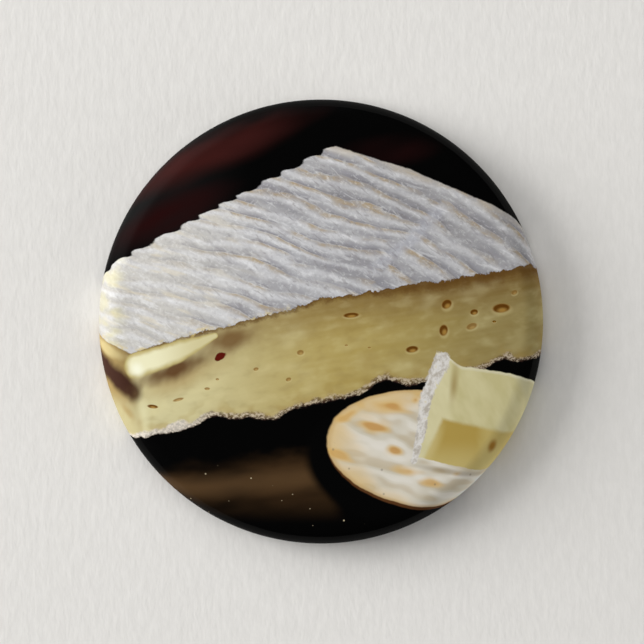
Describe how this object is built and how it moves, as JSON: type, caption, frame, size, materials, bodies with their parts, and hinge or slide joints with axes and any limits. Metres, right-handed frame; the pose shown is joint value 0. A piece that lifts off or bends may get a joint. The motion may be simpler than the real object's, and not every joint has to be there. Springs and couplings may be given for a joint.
{
  "type": "button badge",
  "caption": "Round domed button badge: printed food picture under clear film on a tinplate shell, with a rolled rim and a wire pin on the back.",
  "frame": {"origin": "under the centre of the badge, on the surface that its rolled rim rests on", "axes": "+Z out of the printed face, +Y up the picture, +X to the picture's right"},
  "size_m": [0.0572, 0.0572, 0.0068],
  "materials": {
    "film": "clear and glossy",
    "print": "printed in fields of colour on a near black ground",
    "tinplate": "bright rolled tinplate",
    "wire": "bright nickel plate"
  },
  "bodies": {
    "root": {"clear_film": "film", "print_paper": "print", "shell": "tinplate", "back_plate": "tinplate", "pin": "wire"}
  },
  "joints": []
}
